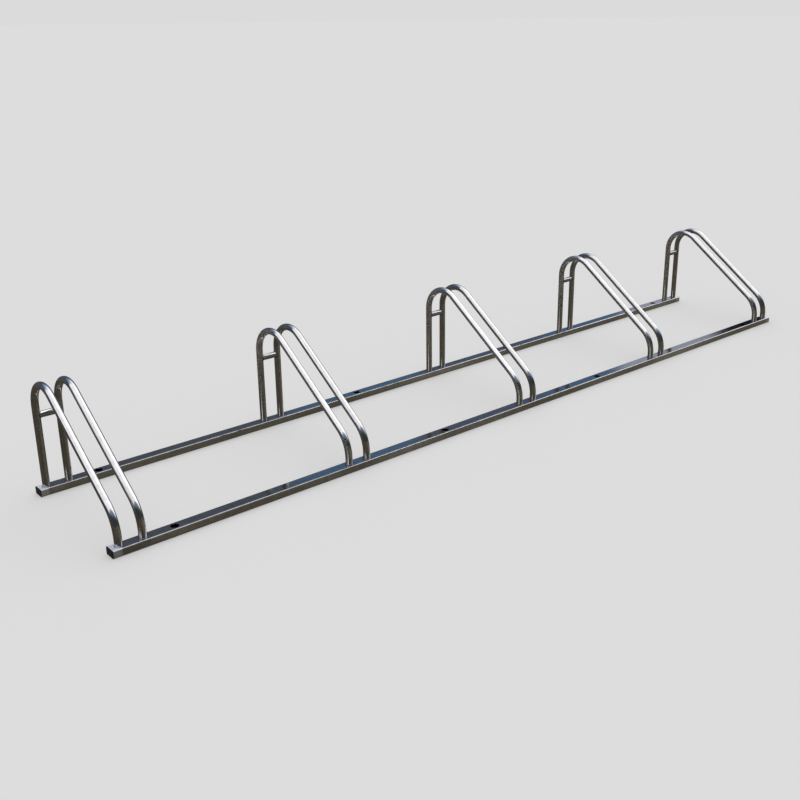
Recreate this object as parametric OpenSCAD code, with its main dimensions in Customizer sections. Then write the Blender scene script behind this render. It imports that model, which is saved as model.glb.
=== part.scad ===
// Floor rack that holds five bicycles by the front wheel, in polished stainless tube.
// Two flat rails lie on the floor, and each bay has a pair of bent tube hoops with the
// tyre between them. The origin is on the floor, in the middle of the rack. X runs along
// the rails, and bicycles roll in towards +Y, where the upright legs of the hoops stand.

/* [Bays] */
// Distance between the centre lines of neighbouring bays
bay_pitch = 650; // [450:10:900]
// Clear gap between the two hoops of a bay, where the tyre stands
tyre_gap = 40; // [28:1:65]
// Distance from the centre line of an end bay to the cut end of the rails
end_margin = 50; // [50:1:200]

/* [Rails] */
// Distance between the centre lines of the front and the rear rail
rail_span = 410; // [360:5:520]
// Width of the rail section, which lies flat on the floor
rail_w = 35; // [34:1:60]
// Height of the rail section
rail_h = 20; // [16:1:40]
// Wall of the rail section
rail_wall = 2; // [1.5:0.5:3]
// Outside corner radius of the rail section
rail_corner_r = 3.5; // [3.3:0.1:4.5]

/* [Hoops] */
// Outside diameter of the hoop tube
tube_d = 19; // [16:0.5:21]
// Wall of the hoop tube and of the crossbar tube
tube_wall = 1.5; // [1:0.5:3]
// Height above the rail where the lines of the front leg and the slope meet
front_corner_h = 63; // [56:1:110]
// Angle between the slope and the floor
slope_angle = 35.5; // [32:0.5:42]
// Centre line radius of the bend at the top
top_bend_r = 72; // [50:1:100]
// Centre line radius of the bend above the front foot
foot_bend_r = 90; // [50:1:100]

/* [Crossbars] */
// Outside diameter of the crossbar tube
crossbar_d = 17; // [12:0.5:18]
// Distance from the start of the top bend down to the axis of the crossbar
crossbar_drop = 24; // [14:1:120]

/* [Welds] */
// Leg length of the fillet weld around each foot
foot_weld_leg = 3; // [2:0.5:4]
// Leg length of the fillet weld at each end of a crossbar
crossbar_weld_leg = 2; // [1:0.5:3]

/* [Anchor holes] */
// Diameter of the hole in the rail's lower wall, for the anchor bolt
anchor_hole_d = 11; // [7:0.5:14]
// Diameter of the hole in the rail's upper wall, which passes the bolt head and its socket
access_hole_d = 21; // [15:0.5:24]
// Distance from an end bay's centre line inwards to the outer anchor hole
outer_anchor_offset = 110; // [70:5:370]
// Distance from the next bay's centre line inwards to the inner anchor hole
inner_anchor_offset = 315; // [70:5:350]

/* [End plugs] */
// Thickness of the plug head that covers the cut end of a rail
plug_head_t = 2; // [1:0.5:4]
// Length of the plug body inside the rail
plug_body_l = 16; // [10:1:30]
// Gap between the plug's ribs and the inner wall of the rail
plug_gap = 0.2; // [0.1:0.1:0.5]

/* [Hidden] */
$fn = 64;
bay_count = 5;
// A cut runs past the face that it opens by this much
cut_over = 1;
// Gap between a bead or a coped end and the round tube that it lies on
seat_gap = 0.1;
// Height of the blunt toe at each edge of a foot weld
weld_toe = 0.4;
// Bevel around the face of a plug head
plug_bevel = 0.8;
// Wall of the hollow plug body
plug_wall = 1.6;
// How far a rib of a plug stands out from the plug body
plug_rib_h = 1;
// Thickness of a rib of a plug
plug_rib_t = 1.2;
plug_rib_count = 3;

// Bays and rails
end_bay_x = (bay_count - 1) / 2 * bay_pitch;
rail_l = 2 * (end_bay_x + end_margin);
hoop_spacing = tyre_gap + tube_d;
rail_bore_w = rail_w - 2 * rail_wall;
rail_bore_h = rail_h - 2 * rail_wall;
rail_bore_r = rail_corner_r - rail_wall;
anchor_x = [end_bay_x - outer_anchor_offset, end_bay_x - bay_pitch - inner_anchor_offset];

// Hoop: two upright legs and a slope between them, with an arc at each corner
rear_corner_h = front_corner_h + rail_span * tan(slope_angle);
top_turn = 90 + slope_angle;
foot_turn = 90 - slope_angle;
top_tangent = top_bend_r * tan(top_turn / 2);
foot_tangent = foot_bend_r * tan(foot_turn / 2);
rear_leg_l = rear_corner_h - top_tangent;
front_leg_l = front_corner_h - foot_tangent;
slope_l = rail_span / cos(slope_angle) - top_tangent - foot_tangent;
crossbar_z = rail_h + rear_leg_l - crossbar_drop;

// Names
sides = [[-1, "left"], [1, "right"]];
rails = [[-1, "front"], [1, "rear"]];

function bay_x(bay) = (bay - 1) * bay_pitch - end_bay_x;

// Lays a profile that is drawn in X and Y upright, so that it faces +X
module face_right() {
    rotate([90, 0, 90]) children();
}

module rounded_section(width, height, corner_r) {
    square([width - 2 * corner_r, height], center = true);
    square([width, height - 2 * corner_r], center = true);
    for (x = [-1, 1], y = [-1, 1])
        translate([x * (width / 2 - corner_r), y * (height / 2 - corner_r)])
            circle(r = corner_r);
}

// Rail
module rail_section() {
    difference() {
        rounded_section(rail_w, rail_h, rail_corner_r);
        rounded_section(rail_bore_w, rail_bore_h, rail_bore_r);
    }
}

// A wide hole through the upper wall and the bolt's own hole through the lower one
module anchor_hole() {
    cylinder(d = access_hole_d, h = rail_h);
    mirror([0, 0, 1]) cylinder(d = anchor_hole_d, h = rail_h);
}

module rail(row) {
    color("silver")
        translate([0, row * rail_span / 2, rail_h / 2])
            difference() {
                face_right() linear_extrude(rail_l, center = true) rail_section();
                for (end = [-1, 1], x = anchor_x)
                    translate([end * x, 0, 0]) anchor_hole();
            }
}

// End plug, drawn along Z with the inner face of its head at zero
module plug_head() {
    hull() {
        linear_extrude(plug_head_t - plug_bevel)
            rounded_section(rail_w, rail_h, rail_corner_r);
        linear_extrude(plug_head_t)
            rounded_section(
                rail_w - 2 * plug_bevel,
                rail_h - 2 * plug_bevel,
                rail_corner_r - plug_bevel
            );
    }
}

// The rail's bore, drawn in by an inset all round
module plug_section(inset) {
    rounded_section(rail_bore_w - 2 * inset, rail_bore_h - 2 * inset, rail_bore_r);
}

module plug_body() {
    body_inset = plug_gap + plug_rib_h;
    rib_pitch = plug_body_l / plug_rib_count;
    linear_extrude(plug_body_l)
        difference() {
            plug_section(body_inset);
            plug_section(body_inset + plug_wall);
        }
    for (rib = [1 : plug_rib_count])
        translate([0, 0, rib * rib_pitch - plug_rib_t])
            linear_extrude(plug_rib_t)
                difference() {
                    plug_section(plug_gap);
                    plug_section(body_inset + plug_wall);
                }
}

module plug(row, end) {
    color([0.09, 0.09, 0.09])
        translate([end * rail_l / 2, row * rail_span / 2, rail_h / 2])
            rotate([0, 0, end < 0 ? 180 : 0])
                face_right() {
                    plug_head();
                    mirror([0, 0, 1]) plug_body();
                }
}

// Hoop, drawn in X and Y with its feet on the X axis
module tube_section() {
    difference() {
        circle(d = tube_d);
        circle(d = tube_d - 2 * tube_wall);
    }
}

// A straight run of tube along +Y; what follows is drawn from its end
module straight_run(length) {
    rotate([-90, 0, 0]) linear_extrude(length) tube_section();
    translate([0, length]) children();
}

// A bend that leaves along +Y and turns to the left; what follows is drawn from its end
module bend(bend_r, turn) {
    reach = bend_r + tube_d;
    translate([-bend_r, 0]) {
        difference() {
            rotate_extrude(angle = 180) translate([bend_r, 0]) tube_section();
            rotate([0, 0, turn])
                translate([-reach, 0, -tube_d]) cube([2 * reach, reach, 2 * tube_d]);
        }
        rotate([0, 0, turn]) translate([bend_r, 0]) children();
    }
}

module hoop_tube() {
    translate([rail_span / 2, 0])
        straight_run(rear_leg_l)
            bend(top_bend_r, top_turn)
                straight_run(slope_l)
                    bend(foot_bend_r, foot_turn)
                        straight_run(front_leg_l);
}

module hoop(bay, side) {
    color("silver")
        translate([bay_x(bay) + side * hoop_spacing / 2, 0, rail_h])
            face_right() hoop_tube();
}

// Crossbar, coped at both ends to the rear legs that it joins
module rear_leg_cut(extra_r, height) {
    cylinder(r = tube_d / 2 + extra_r, h = height, center = true);
}

module crossbar(bay) {
    color("silver")
        translate([bay_x(bay), rail_span / 2, crossbar_z])
            difference() {
                rotate([0, 90, 0])
                    cylinder(d = crossbar_d, h = hoop_spacing, center = true);
                rotate([0, 90, 0])
                    cylinder(d = crossbar_d - 2 * tube_wall, h = hoop_spacing, center = true);
                for (side = [-1, 1])
                    translate([side * hoop_spacing / 2, 0, 0])
                        rear_leg_cut(seat_gap, crossbar_d + 2 * cut_over);
            }
}

// Fillet weld around the foot of a leg
module foot_weld() {
    inner_r = tube_d / 2 + seat_gap;
    rotate_extrude()
        polygon([
            [inner_r, 0],
            [inner_r + foot_weld_leg, 0],
            [inner_r + foot_weld_leg, weld_toe],
            [inner_r + weld_toe, foot_weld_leg],
            [inner_r, foot_weld_leg]
        ]);
}

module foot_welds(row) {
    color("lightgray")
        for (bay = [1 : bay_count], side = [-1, 1])
            translate([bay_x(bay) + side * hoop_spacing / 2, row * rail_span / 2, rail_h])
                foot_weld();
}

// Collar that follows the saddle where a crossbar meets the round leg on its right
module crossbar_weld() {
    weld_d = crossbar_d + 2 * crossbar_weld_leg;
    difference() {
        intersection() {
            rotate([0, -90, 0]) cylinder(d = weld_d, h = hoop_spacing / 2);
            rear_leg_cut(seat_gap + crossbar_weld_leg, weld_d + 2 * cut_over);
        }
        rotate([0, 90, 0])
            cylinder(d = crossbar_d + 2 * seat_gap, h = hoop_spacing, center = true);
        rear_leg_cut(seat_gap, weld_d + 2 * cut_over);
    }
}

module crossbar_welds() {
    color("lightgray")
        for (bay = [1 : bay_count], turn = [0, 180])
            translate([bay_x(bay), rail_span / 2, crossbar_z])
                rotate([0, 0, turn])
                    translate([hoop_spacing / 2, 0, 0]) crossbar_weld();
}

for (rail = rails) {
    rail(rail[0]);
    foot_welds(rail[0]);
    for (end = sides)
        plug(rail[0], end[0]);
}
for (bay = [1 : bay_count]) {
    crossbar(bay);
    for (side = sides)
        hoop(bay, side[0]);
}
crossbar_welds();
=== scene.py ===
import math

import bmesh
import bpy
from mathutils import Matrix, Vector


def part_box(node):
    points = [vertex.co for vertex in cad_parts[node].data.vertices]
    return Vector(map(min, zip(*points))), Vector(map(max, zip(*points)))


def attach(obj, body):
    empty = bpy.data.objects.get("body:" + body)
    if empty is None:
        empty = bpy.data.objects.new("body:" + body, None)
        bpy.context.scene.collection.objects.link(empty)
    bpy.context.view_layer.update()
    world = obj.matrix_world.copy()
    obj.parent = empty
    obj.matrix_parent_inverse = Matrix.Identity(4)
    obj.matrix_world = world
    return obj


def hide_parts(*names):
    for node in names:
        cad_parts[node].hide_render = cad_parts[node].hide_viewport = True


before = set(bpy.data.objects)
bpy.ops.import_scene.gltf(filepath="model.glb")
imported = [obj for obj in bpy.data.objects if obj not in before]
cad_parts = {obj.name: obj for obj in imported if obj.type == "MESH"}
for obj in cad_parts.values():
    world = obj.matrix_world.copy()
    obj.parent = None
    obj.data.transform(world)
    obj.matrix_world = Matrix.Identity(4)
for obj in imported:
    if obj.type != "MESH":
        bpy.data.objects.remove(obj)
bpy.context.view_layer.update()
scene = bpy.context.scene
mm = 0.001
print("frame loaded,", len(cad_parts), "nodes")


# Places and sizes that every piece shares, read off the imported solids
def nodeCentre(name):
    low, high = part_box(name)
    return (low + high) / 2


def nodeSize(name):
    low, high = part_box(name)
    return high - low


rack = {
    "bays": 5,
    "bayPitch": nodeCentre("hoop_2_left").x - nodeCentre("hoop_1_left").x,
    "hoopSpacing": nodeCentre("hoop_1_right").x - nodeCentre("hoop_1_left").x,
    "railSpan": nodeCentre("rear_rail").y - nodeCentre("front_rail").y,
    "railTop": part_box("front_rail")[1].z,
    "tubeDiameter": nodeSize("hoop_1_left").x,
    "crossbarDiameter": nodeSize("crossbar_1").z,
    "crossbarHeight": nodeCentre("crossbar_1").z,
}
bayNumbers = range(1, rack["bays"] + 1)
hoopNodes = [f"hoop_{bay}_{side}" for bay in bayNumbers for side in ("left", "right")]
crossbarNodes = [f"crossbar_{bay}" for bay in bayNumbers]

# The first number of each kind of tube, which seeds its polishing lines
firstNumbers = {"hoops": 0, "crossbars": 20, "rails": 40}


# Camera, at the photograph's viewing angle
view = {
    "place": (-2.1288, -2.1474, 1.1306),
    "yaw": 40.517,  # degrees, from +Y towards +X
    "pitch": -18.971,
    "roll": -0.662,
    "lens": 45.22,
    "sensor": 36,
    "shift": (-0.0110, -0.0464),  # the photograph is cropped off centre
    "clip": (0.05, 1000),
}


def makeCamera():
    yaw, pitch, roll = (math.radians(view[key]) for key in ("yaw", "pitch", "roll"))
    ahead = Vector((math.sin(yaw) * math.cos(pitch), math.cos(yaw) * math.cos(pitch), math.sin(pitch)))
    across = Vector((math.cos(yaw), -math.sin(yaw), 0))
    above = across.cross(ahead)
    right = across * math.cos(roll) + above * math.sin(roll)
    up = above * math.cos(roll) - across * math.sin(roll)
    data = bpy.data.cameras.new("camera")
    data.lens = view["lens"]
    data.sensor_width = view["sensor"]
    data.shift_x, data.shift_y = view["shift"]
    data.clip_start, data.clip_end = view["clip"]
    camera = bpy.data.objects.new("camera", data)
    turn = Matrix((right, up, -ahead)).transposed().to_4x4()
    camera.matrix_world = Matrix.Translation(view["place"]) @ turn
    scene.collection.objects.link(camera)
    scene.camera = camera


makeCamera()
print("camera set")


# Helpers for node trees
def addNode(tree, kind, inputs=None, **settings):
    node = tree.nodes.new(kind)
    for name, value in settings.items():
        setattr(node, name, value)
    for socket, value in (inputs or {}).items():
        if isinstance(value, bpy.types.NodeSocket):
            tree.links.new(value, node.inputs[socket])
        else:
            node.inputs[socket].default_value = value
    return node


def calc(tree, operation, *values, clamp=False):
    inputs = dict(enumerate(values))
    return addNode(tree, "ShaderNodeMath", inputs, operation=operation, use_clamp=clamp).outputs[0]


def calcVector(tree, operation, *values, output=0):
    inputs = dict(enumerate(values))
    return addNode(tree, "ShaderNodeVectorMath", inputs, operation=operation).outputs[output]


def scaled(tree, vector, factor):
    return addNode(tree, "ShaderNodeVectorMath", {0: vector, "Scale": factor}, operation="SCALE").outputs[0]


def combine(tree, x, y, z):
    return addNode(tree, "ShaderNodeCombineXYZ", {0: x, 1: y, 2: z}).outputs[0]


def separate(tree, vector):
    return addNode(tree, "ShaderNodeSeparateXYZ", {0: vector}).outputs


def ease(tree, value, low, high, toLow=0.0, toHigh=1.0):
    inputs = {"Value": value, "From Min": low, "From Max": high, "To Min": toLow, "To Max": toHigh}
    return addNode(tree, "ShaderNodeMapRange", inputs, interpolation_type="SMOOTHSTEP").outputs[0]


def cloud(tree, vector, **inputs):
    values = {"Vector": vector, **{name.title(): value for name, value in inputs.items()}}
    dimensions = "4D" if "w" in inputs else "3D"
    return addNode(tree, "ShaderNodeTexNoise", values, noise_dimensions=dimensions).outputs


def blendColour(tree, share, first, second):
    node = addNode(tree, "ShaderNodeMix", data_type="RGBA")
    for socket, value in ((0, share), (6, first), (7, second)):
        if isinstance(value, bpy.types.NodeSocket):
            tree.links.new(value, node.inputs[socket])
        else:
            node.inputs[socket].default_value = (*value, 1.0) if socket else value
    return node.outputs[2]


def colourRamp(tree, factor, stops):
    # a new ramp has an element at each end, so the last stop stands at 1
    node = addNode(tree, "ShaderNodeValToRGB", {0: factor})
    elements = node.color_ramp.elements
    elements[0].position = stops[0][0]
    elements[0].color = (*stops[0][1], 1.0)
    elements[-1].color = (*stops[-1][1], 1.0)
    for place, colour in stops[1:-1]:
        elements.new(place).color = (*colour, 1.0)
    return node.outputs[0]


def newGroup(name, kind, inputs, outputs):
    tree = bpy.data.node_groups.new(name, kind)
    for socketName, socketType, value in inputs:
        socket = tree.interface.new_socket(socketName, in_out="INPUT", socket_type="NodeSocket" + socketType)
        if value is not None:
            socket.default_value = value
    for socketName, socketType in outputs:
        tree.interface.new_socket(socketName, in_out="OUTPUT", socket_type="NodeSocket" + socketType)
    return tree, tree.nodes.new("NodeGroupInput").outputs, tree.nodes.new("NodeGroupOutput").inputs


def newEffect(name, outputs, vector="vector", **values):
    inputs = [(vector, "Vector", None), *((key, "Float", value) for key, value in values.items())]
    return newGroup(name, "ShaderNodeTree", inputs, outputs)


def useGroup(tree, group, **inputs):
    node = addNode(tree, "ShaderNodeGroup", node_tree=group)
    for name, value in inputs.items():
        if isinstance(value, bpy.types.NodeSocket):
            tree.links.new(value, node.inputs[name])
        else:
            node.inputs[name].default_value = value
    return node.outputs


# Shared effect: fine lines that a polishing belt leaves along a tube
beltLines = {
    "fine": {"share": 1.0, "detail": 3.0, "limits": (0.3, 0.7)},
    "broad": {"share": 0.28, "detail": 2.0, "limits": (0.32, 0.68)},
    "broadShares": {"lines": 0.6, "height": 0.5},
}


def makePolishingLines():
    outputs = [("lines", "Float"), ("height", "Float")]
    tree, given, made = newEffect("polishingLines", outputs, seed=0.0, fineness=900.0, stretch=60.0)
    squeeze = combine(tree, 1.0, 1.0, calc(tree, "DIVIDE", 1.0, given["stretch"]))
    along = calcVector(tree, "MULTIPLY", given["vector"], squeeze)
    layers = []
    for kind in (beltLines["fine"], beltLines["broad"]):
        scale = calc(tree, "MULTIPLY", given["fineness"], kind["share"])
        noise = cloud(tree, along, w=given["seed"], scale=scale, detail=kind["detail"])[0]
        layers.append(ease(tree, noise, *kind["limits"]))
    fine, broad = layers
    for name, share in beltLines["broadShares"].items():
        mixed = calc(tree, "MULTIPLY_ADD", broad, share, calc(tree, "MULTIPLY", fine, 1.0 - share))
        tree.links.new(mixed, made[name])
    return tree


# Shared effect: smudges and dull patches from handling and weather
smudges = {
    "bare": 0.72,  # noise value where marks start, without cover
    "covered": 0.32,  # and with full cover
    "softness": 0.16,
}


def makeHandlingMarks():
    tree, given, made = newEffect("handlingMarks", [("marks", "Float")], size=0.06, cover=0.4,
                                  detail=4.0, roughness=0.6, distortion=0.4)
    scale = calc(tree, "DIVIDE", 1.0, given["size"])
    noise = cloud(tree, given["vector"], scale=scale, detail=given["detail"], roughness=given["roughness"],
                  distortion=given["distortion"])[0]
    reach = smudges["covered"] - smudges["bare"]
    edge = calc(tree, "MULTIPLY_ADD", given["cover"], reach, smudges["bare"])
    tree.links.new(ease(tree, noise, edge, calc(tree, "ADD", edge, smudges["softness"])), made["marks"])
    return tree


# Shared effect: rings of heat tint round the welds of the feet
heatRings = {
    "colours": ((0.0, (0.34, 0.33, 0.36)), (0.3, (0.30, 0.33, 0.45)), (0.5, (0.42, 0.31, 0.40)),
                (0.75, (0.62, 0.47, 0.30)), (1.0, (0.66, 0.58, 0.46))),
    "fade": (1.0, 0.55),  # share of the way out where the tint ends, and where it is full
}


def makeHeatTint():
    tree, given, made = newEffect("heatTint", [("tint", "Float"), ("colour", "Color")], inner=0.0125,
                                  outer=0.024, wobble=0.008, wobbleScale=140.0)
    x, y, z = separate(tree, given["vector"])
    wrapped = calc(tree, "WRAP", x, rack["bayPitch"] / 2, -rack["bayPitch"] / 2)
    fromLeg = calc(tree, "SUBTRACT", calc(tree, "ABSOLUTE", wrapped), rack["hoopSpacing"] / 2)
    fromRow = calc(tree, "SUBTRACT", calc(tree, "ABSOLUTE", y), rack["railSpan"] / 2)
    fromFoot = calc(tree, "SUBTRACT", z, rack["railTop"])
    distance = calcVector(tree, "LENGTH", combine(tree, fromLeg, fromRow, fromFoot), output=1)
    noise = cloud(tree, given["vector"], scale=given["wobbleScale"], detail=1.0)[0]
    drift = calc(tree, "SUBTRACT", noise, 0.5)
    uneven = calc(tree, "MULTIPLY_ADD", drift, given["wobble"], distance)
    limits = {"Value": uneven, "From Min": given["inner"], "From Max": given["outer"]}
    share = addNode(tree, "ShaderNodeMapRange", limits).outputs[0]
    tree.links.new(ease(tree, share, *heatRings["fade"]), made["tint"])
    tree.links.new(colourRamp(tree, share, heatRings["colours"]), made["colour"])
    return tree


# Shared effect: a thin uneven film that rain and handling leave on the steel
def makeWeatherFilm():
    tree, given, made = newEffect("weatherFilm", [("film", "Float")], size=0.012, contrast=0.16, detail=3.0)
    scale = calc(tree, "DIVIDE", 1.0, given["size"])
    noise = cloud(tree, given["vector"], scale=scale, detail=given["detail"])[0]
    edges = (calc(tree, operation, 0.5, given["contrast"]) for operation in ("SUBTRACT", "ADD"))
    tree.links.new(ease(tree, noise, *edges), made["film"])
    return tree


# Which parts of a rail lie beyond the outermost legs, and which are inner faces or edges of holes, which get
# painted shade
railHollow = {
    "reach": 0.016,  # half its width, with a little to spare
    "wallReach": 0.0138,  # just short of the rounded corners, where only holes have edges
    "wallFrom": 0.0182,  # height, in the upper wall
    "bottom": 0.0006,
    "top": 0.0197,
}


def makeRailMasks():
    outputs = [("beyondLegs", "Float"), ("inside", "Float")]
    tree, given, made = newEffect("railMasks", outputs, fade=0.004)
    x, y, z = separate(tree, given["vector"])
    outerLeg = rack["bayPitch"] * (rack["bays"] - 1) / 2 + rack["hoopSpacing"] / 2
    limits = (calc(tree, operation, outerLeg, given["fade"]) for operation in ("SUBTRACT", "ADD"))
    tree.links.new(ease(tree, calc(tree, "ABSOLUTE", x), *limits), made["beyondLegs"])
    fromRow = calc(tree, "SUBTRACT", calc(tree, "ABSOLUTE", y), rack["railSpan"] / 2)
    belowWall = calc(tree, "LESS_THAN", z, railHollow["wallFrom"])
    wider = railHollow["reach"] - railHollow["wallReach"]
    reach = calc(tree, "MULTIPLY_ADD", belowWall, wider, railHollow["wallReach"])
    within = calc(tree, "LESS_THAN", calc(tree, "ABSOLUTE", fromRow), reach)
    belowTop = calc(tree, "LESS_THAN", z, railHollow["top"])
    between = calc(tree, "MULTIPLY", belowTop, calc(tree, "GREATER_THAN", z, railHollow["bottom"]))
    tree.links.new(calc(tree, "MULTIPLY", within, between), made["inside"])
    return tree


# Shared effect: a pale line low on the legs, given by the unrolled place: hand dressing makes it rougher,
# and its pale colour is a painted glint of the sun
def makeDressedGlintLine():
    # solid is the share of its reach where the line is full, and sharp the same across its width
    tree, given, made = newEffect(
        "dressedGlintLine", [("line", "Float")], vector="unrolled", number=0.0, bearing=57.0, length=0.8,
        reach=0.12, width=7.5, rightShare=0.42, frontShare=0.54, taper=0.75, solid=0.2, sharp=0.5)
    x, y, along = separate(tree, given["unrolled"])
    inFront = calc(tree, "GREATER_THAN", along, calc(tree, "MULTIPLY", given["length"], 0.5))
    isRight = calc(tree, "MODULO", given["number"], 2.0)

    # angle round the tube, and how far it is from the line's own
    around = calc(tree, "DEGREES", calc(tree, "ARCTAN2", calc(tree, "MULTIPLY", x, -1.0), y))
    mirrored = calc(tree, "SUBTRACT", 180.0, given["bearing"])
    turn = calc(tree, "SUBTRACT", given["bearing"], mirrored)
    wanted = calc(tree, "MULTIPLY_ADD", inFront, turn, mirrored)
    off = calc(tree, "ABSOLUTE", calc(tree, "SUBTRACT", around, wanted))

    # shorter on the right hoop of a pair, and on the front legs
    onRight = calc(tree, "MULTIPLY_ADD", isRight, calc(tree, "SUBTRACT", given["rightShare"], 1.0), 1.0)
    onFront = calc(tree, "MULTIPLY_ADD", inFront, calc(tree, "SUBTRACT", given["frontShare"], 1.0), 1.0)
    reach = calc(tree, "MULTIPLY", given["reach"], calc(tree, "MULTIPLY", onRight, onFront))
    fromFoot = calc(tree, "MINIMUM", along, calc(tree, "SUBTRACT", given["length"], along))
    rise = calc(tree, "DIVIDE", fromFoot, reach)
    narrower = calc(tree, "SUBTRACT", 1.0, calc(tree, "MULTIPLY", rise, given["taper"]))
    width = calc(tree, "MULTIPLY", given["width"], narrower)
    across = ease(tree, off, width, calc(tree, "MULTIPLY", width, given["sharp"]))
    line = calc(tree, "MULTIPLY", across, ease(tree, rise, 1.0, given["solid"]))

    # on every hoop but the first, and not on the crossbars
    dressedAndSheen = calc(tree, "COMPARE", given["number"], float(rack["bays"]), rack["bays"] - 0.5)
    tree.links.new(calc(tree, "MULTIPLY", line, dressedAndSheen), made["line"])
    return tree


polishingLines = makePolishingLines()
handlingMarks = makeHandlingMarks()
heatTint = makeHeatTint()
weatherFilm = makeWeatherFilm()
railMasks = makeRailMasks()
dressedGlintLine = makeDressedGlintLine()


# Helpers for materials
def newMaterial(name):
    material = bpy.data.materials.new(name)
    material.use_nodes = True
    tree = material.node_tree
    shader = next(node for node in tree.nodes if node.type == "BSDF_PRINCIPLED")
    return material, tree, shader


def wire(tree, shader, **sources):
    names = {"colour": "Base Color", "roughness": "Roughness", "normal": "Normal", "metallic": "Metallic"}
    for key, source in sources.items():
        tree.links.new(source, shader.inputs[names[key]])


def objectPlace(tree):
    return addNode(tree, "ShaderNodeTexCoord").outputs["Object"]


def attribute(tree, name, output):
    return addNode(tree, "ShaderNodeAttribute", attribute_name=name).outputs[output]


def bumped(tree, height, finish):
    distance = finish["bumpDepth"] * mm
    inputs = {"Height": height, "Strength": finish["bump"], "Distance": distance}
    return addNode(tree, "ShaderNodeBump", inputs).outputs[0]


# Polished stainless steel, for the bent tubes and for the rails
steelFinish = {
    "marks": {"size": 0.05, "cover": 0.45},
    "clean": (1.06, 1.06, 1.06),  # where there is no film
    "lineShare": 0.5,  # of the span of roughness, for the polishing lines
    "markShare": 0.5,
    "bump": 0.5,
    "bumpDepth": 0.05,  # of a millimetre
}
tubeSteel = {
    **steelFinish,
    "bright": (0.66, 0.655, 0.65),
    "dull": (0.47, 0.465, 0.45),
    "smooth": 0.045,  # roughness of a clean line
    "coarse": 0.13,
    "fineness": 620.0,
    "stretch": 70.0,
    "tint": 0.2,
    "film": (0.93, 0.93, 0.94),
    # painted highlight: the dressed line's pale colour and low metal share stand in for the sun's glint
    "dressedAndSheen": (0.95, 0.95, 0.96),
    "dressedRoughness": 0.4,  # added to the tube's own
    "dressedGlintMetallic": 0.1,
    "bearing": 56.0,  # of the painted glint line on the dressed legs, where the sun's highlight falls, degrees from -Y towards -X
    "bearingDrift": 9.0,  # for each metre along the rack
    "tubeLength": 0.793,
}
railSteel = {
    **steelFinish,
    "bright": (0.64, 0.635, 0.63),
    "dull": (0.48, 0.475, 0.46),
    "smooth": 0.05,
    "coarse": 0.15,
    "fineness": 520.0,
    "stretch": 90.0,
    "tint": 0.25,
    "film": (0.91, 0.90, 0.885),
    "satinAndSheen": (0.80, 0.83, 0.93),  # the ends, dressed flat after the plugs went in, with a pale blue that is partly painted sky sheen
    "satinRoughness": 0.55,
    "satinMetallic": 0.4,
    "satinSheenUpward": (0.1, 0.9),  # height of the normal, from the walls to the top: the painted sheen is full on the top
    "satinSheenOnWalls": 0.22,
    # painted shade: the inner faces of the hollow rail and the edges of its holes are painted near black
    "inside": (0.03, 0.03, 0.03),
    "corner": {"top": (0.9996, 0.985), "wall": (0.35, 0.6)},  # height of the normal
    "cornerShine": (0.5, 0.93),  # against the flats, at the left and farther right
    "cornerFade": (-0.95, -0.55),
}


def startSteel(tree, steel):
    # polished colour and roughness, before what only tubes or only rails have
    place = objectPlace(tree)
    polish = useGroup(tree, polishingLines, vector=attribute(tree, "straightened", "Vector"),
                      seed=attribute(tree, "tubeNumber", "Fac"), fineness=steel["fineness"],
                      stretch=steel["stretch"])
    marks = useGroup(tree, handlingMarks, vector=place, **steel["marks"])["marks"]
    heat = useGroup(tree, heatTint, vector=place)
    film = useGroup(tree, weatherFilm, vector=place)["film"]
    colour = blendColour(tree, polish["lines"], steel["dull"], steel["bright"])
    filmed = blendColour(tree, film, steel["clean"], steel["film"])
    colour = calcVector(tree, "MULTIPLY", colour, filmed)
    tint = calc(tree, "MULTIPLY", heat["tint"], steel["tint"])
    colour = blendColour(tree, tint, colour, heat["colour"])
    span = steel["coarse"] - steel["smooth"]
    dullness = calc(tree, "SUBTRACT", 1.0, polish["lines"])
    rough = calc(tree, "MULTIPLY_ADD", dullness, span * steel["lineShare"], steel["smooth"])
    rough = calc(tree, "MULTIPLY_ADD", marks, span * steel["markShare"], rough)
    return place, polish["height"], colour, rough


def makeTubeSteel(steel):
    material, tree, shader = newMaterial("polishedTube")
    place, height, colour, rough = startSteel(tree, steel)
    bearing = calc(tree, "MULTIPLY_ADD", separate(tree, place)[0], steel["bearingDrift"], steel["bearing"])
    line = useGroup(tree, dressedGlintLine, unrolled=attribute(tree, "straightened", "Vector"),
                    number=attribute(tree, "tubeNumber", "Fac"), bearing=bearing,
                    length=steel["tubeLength"])["line"]
    # painted highlight: the sun's glint, painted pale along the dressed line
    colour = blendColour(tree, line, colour, steel["dressedAndSheen"])
    rough = calc(tree, "MULTIPLY_ADD", line, steel["dressedRoughness"], rough)
    metallic = calc(tree, "MULTIPLY_ADD", line, steel["dressedGlintMetallic"] - 1.0, 1.0)
    wire(tree, shader, colour=colour, roughness=rough, metallic=metallic, normal=bumped(tree, height, steel))
    return material


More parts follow.
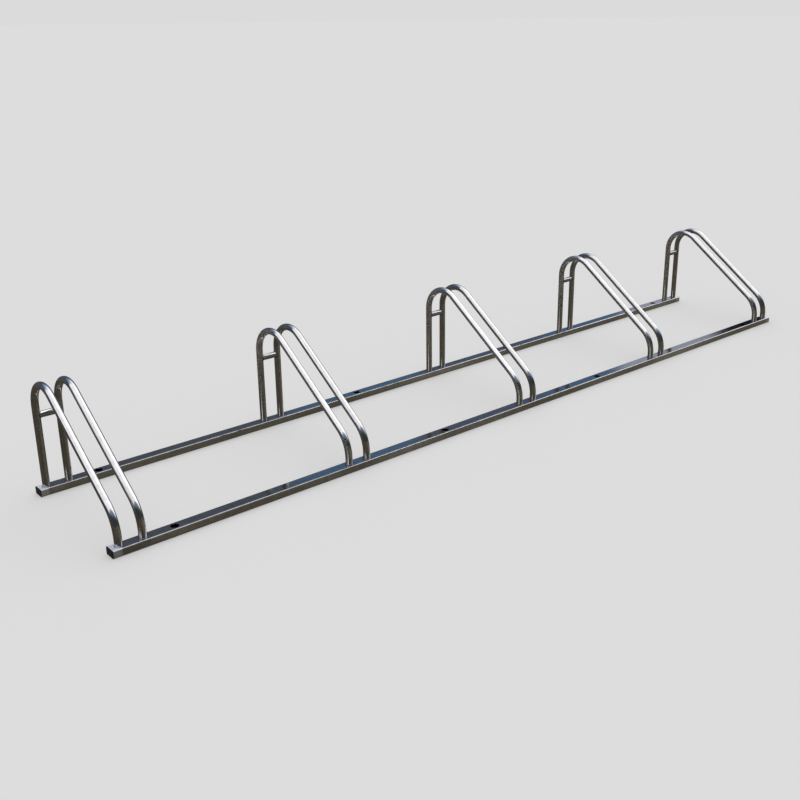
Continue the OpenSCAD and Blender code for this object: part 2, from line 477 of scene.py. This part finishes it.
def makeRailSteel(steel):
    material, tree, shader = newMaterial("polishedRail")
    place, height, colour, rough = startSteel(tree, steel)
    masks = useGroup(tree, railMasks, vector=place)
    upward = separate(tree, addNode(tree, "ShaderNodeNewGeometry").outputs["Normal"])[2]

    # rounded corners, which shine less than the flats at the left
    belowTop, aboveWall = (ease(tree, upward, *steel["corner"][key]) for key in ("top", "wall"))
    onCorner = calc(tree, "MULTIPLY", belowTop, aboveWall)
    left, right = steel["cornerShine"]
    shine = ease(tree, separate(tree, place)[0], *steel["cornerFade"], toLow=left, toHigh=right)
    colour = blendColour(tree, onCorner, colour, scaled(tree, colour, shine))

    # satin ends, partly painted sheen, and the inner faces, painted dark as shade
    # painted sheen: the satin ends' pale blue is full on the tops and weak on the walls, as skylight falls
    facing = ease(tree, upward, *steel["satinSheenUpward"], toLow=steel["satinSheenOnWalls"])
    atEnd = calc(tree, "MULTIPLY", masks["beyondLegs"], facing)
    colour = blendColour(tree, atEnd, colour, steel["satinAndSheen"])
    colour = blendColour(tree, masks["inside"], colour, steel["inside"])
    rough = calc(tree, "MAXIMUM", rough, calc(tree, "MULTIPLY", atEnd, steel["satinRoughness"]))
    rough = calc(tree, "MAXIMUM", rough, masks["inside"])
    metallic = calc(tree, "MULTIPLY_ADD", atEnd, steel["satinMetallic"] - 1.0, 1.0)
    wire(tree, shader, colour=colour, roughness=rough, metallic=metallic, normal=bumped(tree, height, steel))
    return material


# Weld bead: satin, with the ripples of a hand-laid seam, painted dark for the shade where the legs meet the
# rails
beadFinish = {
    # painted shade: the bead's dark colour stands in for the shade where leg meets rail, darker still in the
    # ripples' valleys
    "colour": (0.15, 0.147, 0.15),
    "shadedValley": (0.08, 0.078, 0.08),
    "dressedAndSheen": (0.42, 0.42, 0.43),  # at the rails' ends: dressed, and painted paler there as sheen, without the painted shade
    "roughness": 0.36,
    "marks": {"size": 0.012, "cover": 0.6},
    "markRoughness": 0.16,
    "tint": 0.25,
    "ripples": 35.0,  # scale of the wave texture, 9 mm for each ripple
    "rippleShape": {"Distortion": 1.5, "Detail": 1.0, "Detail Scale": 2.0},
    "bump": 0.7,
    "bumpDepth": 0.12,
}


def makeBeadMetal():
    material, tree, shader = newMaterial("weldBead")
    place = objectPlace(tree)
    seam = attribute(tree, "straightened", "Vector")
    shape = {"Vector": seam, "Scale": beadFinish["ripples"], **beadFinish["rippleShape"]}
    wave = addNode(tree, "ShaderNodeTexWave", shape, wave_type="BANDS", bands_direction="Z",
                   wave_profile="SIN").outputs["Fac"]
    marks = useGroup(tree, handlingMarks, vector=place, **beadFinish["marks"])["marks"]
    heat = useGroup(tree, heatTint, vector=place)
    atEnd = useGroup(tree, railMasks, vector=place)["beyondLegs"]
    colour = blendColour(tree, wave, beadFinish["shadedValley"], beadFinish["colour"])
    colour = blendColour(tree, atEnd, colour, beadFinish["dressedAndSheen"])
    tint = calc(tree, "MULTIPLY", heat["tint"], beadFinish["tint"])
    colour = blendColour(tree, tint, colour, heat["colour"])
    rough = calc(tree, "MULTIPLY_ADD", marks, beadFinish["markRoughness"], beadFinish["roughness"])
    wire(tree, shader, colour=colour, roughness=rough, normal=bumped(tree, wave, beadFinish))
    shader.inputs["Metallic"].default_value = 1.0
    return material


# Black moulded plastic of the end plugs
plugPlastic = {
    "black": (0.012, 0.012, 0.013),
    "scuffed": (0.045, 0.044, 0.042),
    "scuffs": 0.7,
    "roughness": 0.42,
    "marks": {"size": 0.01, "cover": 0.5},
    "markRoughness": 0.2,
    "grain": {"scale": 1800.0, "detail": 2.0},
    "bump": 0.4,
    "bumpDepth": 0.03,
}


def makePlugPlastic():
    material, tree, shader = newMaterial("plugPlastic")
    place = objectPlace(tree)
    grain = cloud(tree, place, **plugPlastic["grain"])[0]
    marks = useGroup(tree, handlingMarks, vector=place, **plugPlastic["marks"])["marks"]
    scuffs = calc(tree, "MULTIPLY", marks, plugPlastic["scuffs"])
    colour = blendColour(tree, scuffs, plugPlastic["black"], plugPlastic["scuffed"])
    rough = calc(tree, "MULTIPLY_ADD", marks, plugPlastic["markRoughness"], plugPlastic["roughness"])
    wire(tree, shader, colour=colour, roughness=rough, normal=bumped(tree, grain, plugPlastic))
    return material


tubeMetal = makeTubeSteel(tubeSteel)
railMetal = makeRailSteel(railSteel)
beadMetal = makeBeadMetal()
plasticBlack = makePlugPlastic()
print("materials made")


# Helpers for pieces that a geometry tree grows
def newGrower(name, settings):
    # one named input for each size of the piece
    sizes = [(key, "Int" if isinstance(value, int) else "Float", value) for key, value in settings.items()]
    inputs = [*sizes, ("Material", "Material", None)]
    return newGroup(name, "GeometryNodeTree", inputs, [("Mesh", "Geometry")])


def closeGrower(tree, given, made, mesh):
    shaded = addNode(tree, "GeometryNodeSetShadeSmooth", {"Geometry": mesh}).outputs[0]
    inputs = {"Geometry": shaded, "Material": given["Material"]}
    tree.links.new(addNode(tree, "GeometryNodeSetMaterial", inputs).outputs[0], made["Mesh"])
    return tree


def half(tree, value):
    return calc(tree, "DIVIDE", value, 2.0)


def position(tree):
    return addNode(tree, "GeometryNodeInputPosition").outputs[0]


def index(tree):
    return addNode(tree, "GeometryNodeInputIndex").outputs[0]


def moved(tree, geometry, **inputs):
    return addNode(tree, "GeometryNodeSetPosition", {"Geometry": geometry, **inputs}).outputs[0]


def circle(tree, sides, radius):
    inputs = {"Resolution": sides, "Radius": radius}
    return addNode(tree, "GeometryNodeCurvePrimitiveCircle", inputs).outputs[0]


def sweep(tree, path, profile):
    # carries the unrolled place of each point: across the section in x and y, along the path in z
    along = addNode(tree, "GeometryNodeCaptureAttribute", {"Geometry": path}, domain="POINT")
    along.capture_items.new("FLOAT", "along")
    length = addNode(tree, "GeometryNodeSplineParameter").outputs["Length"]
    tree.links.new(length, along.inputs["along"])
    across = addNode(tree, "GeometryNodeCaptureAttribute", {"Geometry": profile}, domain="POINT")
    across.capture_items.new("VECTOR", "across")
    tree.links.new(position(tree), across.inputs["across"])
    curves = {"Curve": along.outputs[0], "Profile Curve": across.outputs[0], "Fill Caps": True}
    tube = addNode(tree, "GeometryNodeCurveToMesh", curves).outputs[0]
    section = separate(tree, across.outputs["across"])
    unrolled = combine(tree, section[0], section[1], along.outputs["along"])
    stored = {"Geometry": tube, "Name": "straightened", "Value": unrolled}
    return addNode(tree, "GeometryNodeStoreNamedAttribute", stored, data_type="FLOAT_VECTOR",
                   domain="POINT").outputs[0]


def repeat(tree, mesh, count, place, turn=None, firstNumber=0):
    points = addNode(tree, "GeometryNodePoints", {"Count": count, "Position": place}).outputs[0]
    copies = addNode(tree, "GeometryNodeInstanceOnPoints", {"Points": points, "Instance": mesh})
    if turn is not None:
        tree.links.new(combine(tree, 0.0, 0.0, turn), copies.inputs["Rotation"])
    number = calc(tree, "ADD", index(tree), float(firstNumber))
    stored = {"Geometry": copies.outputs[0], "Name": "tubeNumber", "Value": number}
    numbered = addNode(tree, "GeometryNodeStoreNamedAttribute", stored, data_type="FLOAT",
                       domain="INSTANCE").outputs[0]
    return addNode(tree, "GeometryNodeRealizeInstances", {"Geometry": numbered}).outputs[0]


def bayPlace(tree, given, perBay):
    # centre line of the bay that this index stands in, and which of the bay's members it is
    here = index(tree)
    bay = calc(tree, "FLOOR", calc(tree, "DIVIDE", here, float(perBay)))
    member = calc(tree, "SUBTRACT", here, calc(tree, "MULTIPLY", bay, float(perBay)))
    middle = half(tree, calc(tree, "SUBTRACT", given["Bays"], 1.0))
    return calc(tree, "MULTIPLY", calc(tree, "SUBTRACT", bay, middle), given["Bay Pitch"]), member


def hoopPlace(tree, given):
    bayX, side = bayPlace(tree, given, 2)
    return calc(tree, "MULTIPLY_ADD", calc(tree, "SUBTRACT", side, 0.5), given["Hoop Spacing"], bayX)


def hoopCount(tree, given):
    return calc(tree, "MULTIPLY", given["Bays"], 2.0)


def copeReach(tree, legRadius, y):
    # how far a round leg reaches towards the crossbar at this y
    squares = (calc(tree, "POWER", value, 2.0) for value in (legRadius, y))
    return calc(tree, "SQRT", calc(tree, "SUBTRACT", *squares))


def finishPiece(base, name):
    # a plain piece takes the place of the base, whose modifier goes with it
    graph = bpy.context.evaluated_depsgraph_get()
    evaluated = base.evaluated_get(graph)
    mesh = bpy.data.meshes.new_from_object(evaluated, preserve_all_data_layers=True, depsgraph=graph)
    bpy.data.objects.remove(base)
    mesh.name = name
    piece = bpy.data.objects.new(name, mesh)
    scene.collection.objects.link(piece)
    return piece


def growPiece(name, tree, material, settings):
    base = bpy.data.objects.new(name + "Base", bpy.data.meshes.new(name + "Base"))
    scene.collection.objects.link(base)
    modifier = base.modifiers.new("grow", "NODES")
    modifier.node_group = tree
    values = {**settings, "Material": material}
    for socket in tree.interface.items_tree:
        if socket.in_out == "INPUT":
            modifier[socket.identifier] = values[socket.name]
    piece = finishPiece(base, name)
    print(name, "grown,", len(piece.data.polygons), "faces")
    return piece


def mount(piece, slotName, *nodes):
    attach(piece, "root")
    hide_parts(*nodes)


layout = {"Bays": rack["bays"], "Bay Pitch": rack["bayPitch"], "Hoop Spacing": rack["hoopSpacing"],
          "Rail Span": rack["railSpan"], "Tube Diameter": rack["tubeDiameter"]}

# Hoops: a tube along a rear leg, a wide bend, the slope, a second bend and a short front leg
hoop = {
    **layout,
    "Rail Top": rack["railTop"],
    "Rear Corner Height": 0.35545,  # above the rail, where the centre lines would meet
    "Front Corner Height": 0.063,
    "Top Bend Radius": 0.072,
    "Foot Bend Radius": 0.090,
    "Sides": 64,
    "Bend Steps": 40,
}


def makeHoopTree():
    tree, given, made = newGrower("hoopTubes", hoop)
    rear = half(tree, given["Rail Span"])
    front = calc(tree, "MULTIPLY", rear, -1.0)
    foot = given["Rail Top"]
    rearTop, frontTop = (calc(tree, "ADD", foot, given[key])
                         for key in ("Rear Corner Height", "Front Corner Height"))
    places = ((rear, foot), (rear, rearTop), (front, frontTop), (front, foot))
    line = addNode(tree, "GeometryNodeCurvePrimitiveLine").outputs[0]
    corners = addNode(tree, "GeometryNodeResampleCurve", {"Curve": line, "Count": len(places)}, mode="COUNT")
    here = index(tree)
    choice = addNode(tree, "GeometryNodeIndexSwitch", data_type="VECTOR")
    while len(choice.index_switch_items) < len(places):
        choice.index_switch_items.new()
    tree.links.new(here, choice.inputs[0])
    for number, (y, z) in enumerate(places):
        tree.links.new(combine(tree, 0.0, y, z), choice.inputs[number + 1])
    bentLine = moved(tree, corners.outputs[0], Position=choice.outputs[0])

    # corner 1 is over the rear foot, and corner 2 over the front one
    isInFront = calc(tree, "GREATER_THAN", here, 1.5)
    radii = {0: isInFront, 1: given["Top Bend Radius"], 2: given["Foot Bend Radius"]}
    radius = addNode(tree, "GeometryNodeSwitch", radii, input_type="FLOAT").outputs[0]
    bends = {"Curve": bentLine, "Count": given["Bend Steps"], "Radius": radius}
    path = addNode(tree, "GeometryNodeFilletCurve", bends, mode="POLY").outputs[0]
    tube = sweep(tree, path, circle(tree, given["Sides"], half(tree, given["Tube Diameter"])))
    place = combine(tree, hoopPlace(tree, given), 0.0, 0.0)
    hoops = repeat(tree, tube, hoopCount(tree, given), place, firstNumber=firstNumbers["hoops"])
    return closeGrower(tree, given, made, hoops)


hoops = growPiece("hoops", makeHoopTree(), tubeMetal, hoop)
mount(hoops, "stainless", *hoopNodes)


# Crossbars, coped to the round legs that they join
crossbar = {
    **layout,
    "Diameter": rack["crossbarDiameter"],
    "Height": rack["crossbarHeight"],
    "Seat": 0.0003,  # how far the coped edge sinks into the leg
    "Sides": 64,
}


def makeCrossbarTree():
    tree, given, made = newGrower("crossbarTubes", crossbar)
    end = half(tree, given["Hoop Spacing"])
    start = combine(tree, calc(tree, "MULTIPLY", end, -1.0), 0.0, 0.0)
    stop = combine(tree, end, 0.0, 0.0)
    line = addNode(tree, "GeometryNodeCurvePrimitiveLine", {"Start": start, "End": stop}).outputs[0]
    tube = sweep(tree, line, circle(tree, given["Sides"], half(tree, given["Diameter"])))
    x, y, z = separate(tree, position(tree))
    legRadius = calc(tree, "SUBTRACT", half(tree, given["Tube Diameter"]), given["Seat"])
    copedEnd = calc(tree, "SUBTRACT", end, copeReach(tree, legRadius, y))
    copedX = calc(tree, "MULTIPLY", calc(tree, "SIGN", x), copedEnd)
    coped = moved(tree, tube, Position=combine(tree, copedX, y, z))
    bayX, _ = bayPlace(tree, given, 1)
    place = combine(tree, bayX, half(tree, given["Rail Span"]), given["Height"])
    bars = repeat(tree, coped, given["Bays"], place, firstNumber=firstNumbers["crossbars"])
    return closeGrower(tree, given, made, bars)


crossbars = growPiece("crossbars", makeCrossbarTree(), tubeMetal, crossbar)
mount(crossbars, "stainless", *crossbarNodes)


# Weld beads round the feet, and along the saddles at the ends of the crossbars
bead = {
    **layout,
    "Bead Radius": 0.0015,
    "Bead Sides": 12,
    "Steps": 144,
    "Ripples": 36.0,
    "Ripple": 0.05,  # share of the bead's radius
    "Wander": 0.0003,
    "Wander Scale": 260.0,
    "Seed": 4.0,
}
footBead = {
    **bead,
    "Rail Top": rack["railTop"],
    "Row": 1.0,  # 1 for the rear feet, -1 for the front ones
}
saddleBead = {
    **bead,
    "Bead Radius": 0.0012,
    "Bar Diameter": rack["crossbarDiameter"],
    "Bar Height": rack["crossbarHeight"],
}


def stepTurn(tree, given):
    # how far round its seam each step of a bead stands
    return calc(tree, "MULTIPLY", calc(tree, "DIVIDE", index(tree), given["Steps"]), math.tau)


def onCircle(tree, radius, turn):
    return [calc(tree, "MULTIPLY", radius, calc(tree, operation, turn)) for operation in ("COSINE", "SINE")]


def layBead(tree, given, turn, seam):
    # a ring of the same steps is bent to the seam, and swells at each ripple
    ring = circle(tree, given["Steps"], half(tree, given["Tube Diameter"]))
    path = moved(tree, ring, Position=seam)
    wave = calc(tree, "SINE", calc(tree, "MULTIPLY", turn, given["Ripples"]))
    swell = calc(tree, "MULTIPLY_ADD", wave, given["Ripple"], 1.0)
    shaped = addNode(tree, "GeometryNodeSetCurveRadius", {"Curve": path, "Radius": swell}).outputs[0]
    return sweep(tree, shaped, circle(tree, given["Bead Sides"], given["Bead Radius"]))


def closeBeads(tree, given, made, beads):
    # a seam laid by hand wanders a little
    noise = cloud(tree, position(tree), w=given["Seed"], scale=given["Wander Scale"], detail=1.0)["Color"]
    drift = calcVector(tree, "SUBTRACT", noise, (0.5, 0.5, 0.5))
    laid = moved(tree, beads, Offset=scaled(tree, drift, given["Wander"]))
    return closeGrower(tree, given, made, laid)


def makeFootBeadTree():
    tree, given, made = newGrower("footBeads", footBead)
    turn = stepTurn(tree, given)
    x, y = onCircle(tree, half(tree, given["Tube Diameter"]), turn)
    tube = layBead(tree, given, turn, combine(tree, x, y, 0.0))
    rowY = calc(tree, "MULTIPLY", given["Row"], half(tree, given["Rail Span"]))
    place = combine(tree, hoopPlace(tree, given), rowY, given["Rail Top"])
    return closeBeads(tree, given, made, repeat(tree, tube, hoopCount(tree, given), place))


def makeSaddleBeadTree():
    tree, given, made = newGrower("saddleBeads", saddleBead)
    turn = stepTurn(tree, given)
    y, z = onCircle(tree, half(tree, given["Bar Diameter"]), turn)
    reach = copeReach(tree, half(tree, given["Tube Diameter"]), y)
    x = calc(tree, "SUBTRACT", half(tree, given["Hoop Spacing"]), reach)
    tube = layBead(tree, given, turn, combine(tree, x, y, z))
    bayX, side = bayPlace(tree, given, 2)
    place = combine(tree, bayX, half(tree, given["Rail Span"]), given["Bar Height"])
    turned = calc(tree, "MULTIPLY", side, math.pi)
    beads = repeat(tree, tube, hoopCount(tree, given), place, turn=turned)
    return closeBeads(tree, given, made, beads)


footBeadTree = makeFootBeadTree()
for name, row in (("front", -1.0), ("rear", 1.0)):
    footBeads = growPiece(name + "FootBeads", footBeadTree, beadMetal, {**footBead, "Row": row})
    mount(footBeads, "weld", name + "_foot_welds")
saddleBeads = growPiece("crossbarBeads", makeSaddleBeadTree(), beadMetal, saddleBead)
mount(saddleBeads, "weld", "crossbar_welds")


# Rails and plugs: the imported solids, merged and shaded without facets
smoothing = {
    "merge": 2e-6,
    "sharpFrom": 32.0,  # degrees between faces
    "flatness": 100,  # how far large faces rule the normals
}


def smoothCopy(node, name, material):
    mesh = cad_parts[node].data.copy()
    work = bmesh.new()
    work.from_mesh(mesh)
    bmesh.ops.remove_doubles(work, verts=work.verts, dist=smoothing["merge"])
    work.to_mesh(mesh)
    work.free()
    mesh.materials.clear()
    mesh.materials.append(material)
    mesh.polygons.foreach_set("use_smooth", [True] * len(mesh.polygons))
    mesh.set_sharp_from_angle(angle=math.radians(smoothing["sharpFrom"]))
    base = bpy.data.objects.new(name + "Base", mesh)
    scene.collection.objects.link(base)
    weighted = base.modifiers.new("weighted", "WEIGHTED_NORMAL")
    weighted.keep_sharp = True
    weighted.weight = smoothing["flatness"]
    return finishPiece(base, name)


def unroll(piece, number):
    # the same attributes that the grown tubes carry, with the rail's length as the third axis
    mesh = piece.data
    straight = mesh.attributes.new("straightened", "FLOAT_VECTOR", "POINT")
    straight.data.foreach_set("vector", [part for vertex in mesh.vertices for part in vertex.co.yzx])
    which = mesh.attributes.new("tubeNumber", "FLOAT", "POINT")
    which.data.foreach_set("value", [float(number)] * len(mesh.vertices))


for number, row in enumerate(("front", "rear"), start=firstNumbers["rails"]):
    rail = smoothCopy(row + "_rail", row + "Rail", railMetal)
    unroll(rail, number)
    mount(rail, "stainless", row + "_rail")
    for side in ("left", "right"):
        plug = smoothCopy(f"{row}_{side}_plug", f"{row}{side.title()}Plug", plasticBlack)
        mount(plug, "plug", f"{row}_{side}_plug")
print("rails and plugs dressed")


# Pale floor; the steel doesn't mirror it, but the studio's own darker ground
floorLook = {
    "grey": (0.5, 0.5, 0.5, 1.0),
    "glowColour": (1.0, 1.0, 1.0, 1.0),
    "glow": 0.3,
    "reach": 400,
    "drop": 0.0002,  # below the rails
}


def makeFloor():
    mesh = bpy.data.meshes.new("floor")
    work = bmesh.new()
    bmesh.ops.create_grid(work, x_segments=1, y_segments=1, size=floorLook["reach"])
    work.to_mesh(mesh)
    work.free()
    mesh.transform(Matrix.Translation((0, 0, -floorLook["drop"])))
    floor = bpy.data.objects.new("floor", mesh)
    material, _, shader = newMaterial("paleFloor")
    shader.inputs["Base Color"].default_value = floorLook["grey"]
    shader.inputs["Emission Color"].default_value = floorLook["glowColour"]
    shader.inputs["Emission Strength"].default_value = floorLook["glow"]
    shader.inputs["Roughness"].default_value = 1.0
    shader.inputs["Specular IOR Level"].default_value = 0.0
    mesh.materials.append(material)
    scene.collection.objects.link(floor)
    floor.visible_glossy = False


# A studio that the polished steel mirrors: bright above, with a darker skyline and ground round it.
# Bearings are degrees from +Y towards +X, and heights are degrees up.
studio = {
    "backdrop": 0.708,  # linear value that the camera sees beyond the floor
    "fill": 0.66,  # and that lights matt surfaces
    "overhead": (1.46, 1.45, 1.53),
    "glow": (1.95, 1.95, 2.0),
    "glowFrom": (0.6, -0.05, 0.8),
    "glowSpread": (0.76, 0.98),  # cosines
    "haze": (0.23, 0.33, 0.49),
    "hazeRight": (0.19, 0.205, 0.25),
    "hazeTurn": (0.68, 0.82),  # x of a ray, from one haze to the other
    "hazeHeights": (-1.2, -0.67),  # over the skyline, in widths of its fade
    "skyHeights": (-0.67, 1.0),
    "uneven": {"scale": 6.0, "detail": 4.0},
    "unevenHeight": 14.0,
    # height of the skyline and width of its fade: the other directions add to the sides
    "skyline": {"sides": 18.5, "left": 9.0, "near": 65.0, "far": 41.0, "farRight": -15.5},
    "fade": {"sides": 5.0, "left": 0.0, "near": 42.0, "far": 21.0, "farRight": -17.0},
    "nearFrom": (-0.22, -0.84),  # y of a ray, where the near side starts and where it is full
    "farFrom": (-60.0, -36.0),
    "farTo": (72.0, 68.0),
    "farRightFrom": (12.0, 28.0),
    # what stands below the skyline
    "sides": (0.07, 0.072, 0.078),
    "near": (0.045, 0.056, 0.052),
}
skylineColours = {
    "slate": (0.094, 0.108, 0.143),
    "blue": (0.092, 0.160, 0.273),
    "steel": (0.094, 0.12, 0.19),
    "lavender": (0.38, 0.41, 0.52),
    "dusk": (0.014, 0.015, 0.023),
}
# and on the far side, at shares of the quarter turn from +Y to +X
skylineStops = (
    (0.36, "slate"), (0.38, "blue"), (0.45, "blue"), (0.465, "slate"), (0.49, "steel"), (0.53, "steel"),
    (0.545, "blue"), (0.585, "blue"), (0.594, "lavender"), (0.643, "lavender"), (0.652, "dusk"),
    (1.0, "dusk"))


def mirroredSky(tree, ray, height, near):
    x, y, _ = separate(tree, ray)
    bearing = calc(tree, "DEGREES", calc(tree, "ARCTAN2", x, y))
    far = calc(tree, "MULTIPLY", *(ease(tree, bearing, *studio[key]) for key in ("farFrom", "farTo")))
    farRight = calc(tree, "MULTIPLY", far, ease(tree, bearing, *studio["farRightFrom"]))
    left = calc(tree, "MULTIPLY", x, -1.0)

    def byDirection(parts):
        total = parts["sides"]
        for key, share in (("near", near), ("left", left), ("farRight", farRight), ("far", far)):
            total = calc(tree, "MULTIPLY_ADD", share, parts[key], total)
        return total

    noise = cloud(tree, ray, **studio["uneven"])[0]
    drift = calc(tree, "SUBTRACT", noise, 0.5)
    skyline = calc(tree, "MULTIPLY_ADD", drift, studio["unevenHeight"], byDirection(studio["skyline"]))
    above = calc(tree, "DIVIDE", calc(tree, "SUBTRACT", height, skyline), byDirection(studio["fade"]))
    turn = calc(tree, "DIVIDE", bearing, 90.0, clamp=True)
    stops = [(share, skylineColours[key]) for share, key in skylineStops]
    low = blendColour(tree, near, studio["sides"], studio["near"])
    low = blendColour(tree, far, low, colourRamp(tree, turn, stops))
    haze = blendColour(tree, ease(tree, x, *studio["hazeTurn"]), studio["haze"], studio["hazeRight"])
    hazy = blendColour(tree, ease(tree, above, *studio["hazeHeights"]), low, haze)
    source = tuple(Vector(studio["glowFrom"]).normalized())
    lit = calcVector(tree, "DOT_PRODUCT", ray, source, output=1)
    overhead = blendColour(tree, ease(tree, lit, *studio["glowSpread"]), studio["overhead"], studio["glow"])
    return blendColour(tree, ease(tree, above, *studio["skyHeights"]), hazy, overhead)


ground = {
    "dark": (0.078, 0.068, 0.050),
    "light": (0.145, 0.131, 0.102),
    "patches": {"scale": 14.0, "detail": 5.0, "roughness": 0.65},
    "patchLimits": (0.4, 0.66),
    "yard": (1.5, 1.55, 1.62),  # how much paler it is on one side
    "yardBearing": 126.0,
    "yardSpread": (0.64, 0.92),  # cosines
    "close": 0.82,  # how much of its light is left close by
    "closeHeights": (-22.0, -18.0),
    "horizon": {"sides": -8.0, "near": 17.0},
    "horizonFade": (-4.0, 4.0),
}


def mirroredGround(tree, ray, height):
    patches = ease(tree, cloud(tree, ray, **ground["patches"])[0], *ground["patchLimits"])
    colour = blendColour(tree, patches, ground["dark"], ground["light"])
    bearing = math.radians(ground["yardBearing"])
    facing = calcVector(tree, "DOT_PRODUCT", ray, (math.sin(bearing), math.cos(bearing), 0.0), output=1)
    paler = blendColour(tree, ease(tree, facing, *ground["yardSpread"]), (1.0, 1.0, 1.0), ground["yard"])
    colour = calcVector(tree, "MULTIPLY", colour, paler)
    return scaled(tree, colour, ease(tree, height, *ground["closeHeights"], toLow=ground["close"]))


def makeWorld():
    world = bpy.data.worlds.new("studio")
    world.use_nodes = True
    scene.world = world
    tree = world.node_tree
    tree.nodes.clear()
    ray = calcVector(tree, "NORMALIZE", addNode(tree, "ShaderNodeTexCoord").outputs["Generated"])
    _, y, z = separate(tree, ray)
    height = calc(tree, "DEGREES", calc(tree, "ARCSINE", z))
    near = ease(tree, y, *studio["nearFrom"])
    horizon = calc(tree, "MULTIPLY_ADD", near, ground["horizon"]["near"], ground["horizon"]["sides"])
    below = ease(tree, calc(tree, "SUBTRACT", horizon, height), *ground["horizonFade"])
    sky = mirroredSky(tree, ray, height, near)
    mirrored = blendColour(tree, below, sky, mirroredGround(tree, ray, height))
    paths = addNode(tree, "ShaderNodeLightPath").outputs
    fill, backdrop = ((studio[key],) * 3 for key in ("fill", "backdrop"))
    plain = blendColour(tree, paths["Is Camera Ray"], fill, backdrop)
    colour = blendColour(tree, paths["Is Glossy Ray"], plain, mirrored)
    background = addNode(tree, "ShaderNodeBackground", {"Color": colour, "Strength": 1.0}).outputs[0]
    addNode(tree, "ShaderNodeOutputWorld", {"Surface": background})


lampLook = {
    "strength": 0.7,
    "spread": 75.0,  # degrees across the disc
    "leans": {"X": -28.0, "Y": 22.0},
}


def makeLamp():
    data = bpy.data.lights.new("softLamp", "SUN")
    data.energy = lampLook["strength"]
    data.angle = math.radians(lampLook["spread"])
    lamp = bpy.data.objects.new("softLamp", data)
    leanX, leanY = (Matrix.Rotation(math.radians(angle), 4, axis)
                    for axis, angle in lampLook["leans"].items())
    lamp.matrix_world = leanX @ leanY
    lamp.visible_glossy = False
    scene.collection.objects.link(lamp)


makeFloor()
makeWorld()
makeLamp()
scene.view_settings.view_transform = "Standard"
print("studio lit")
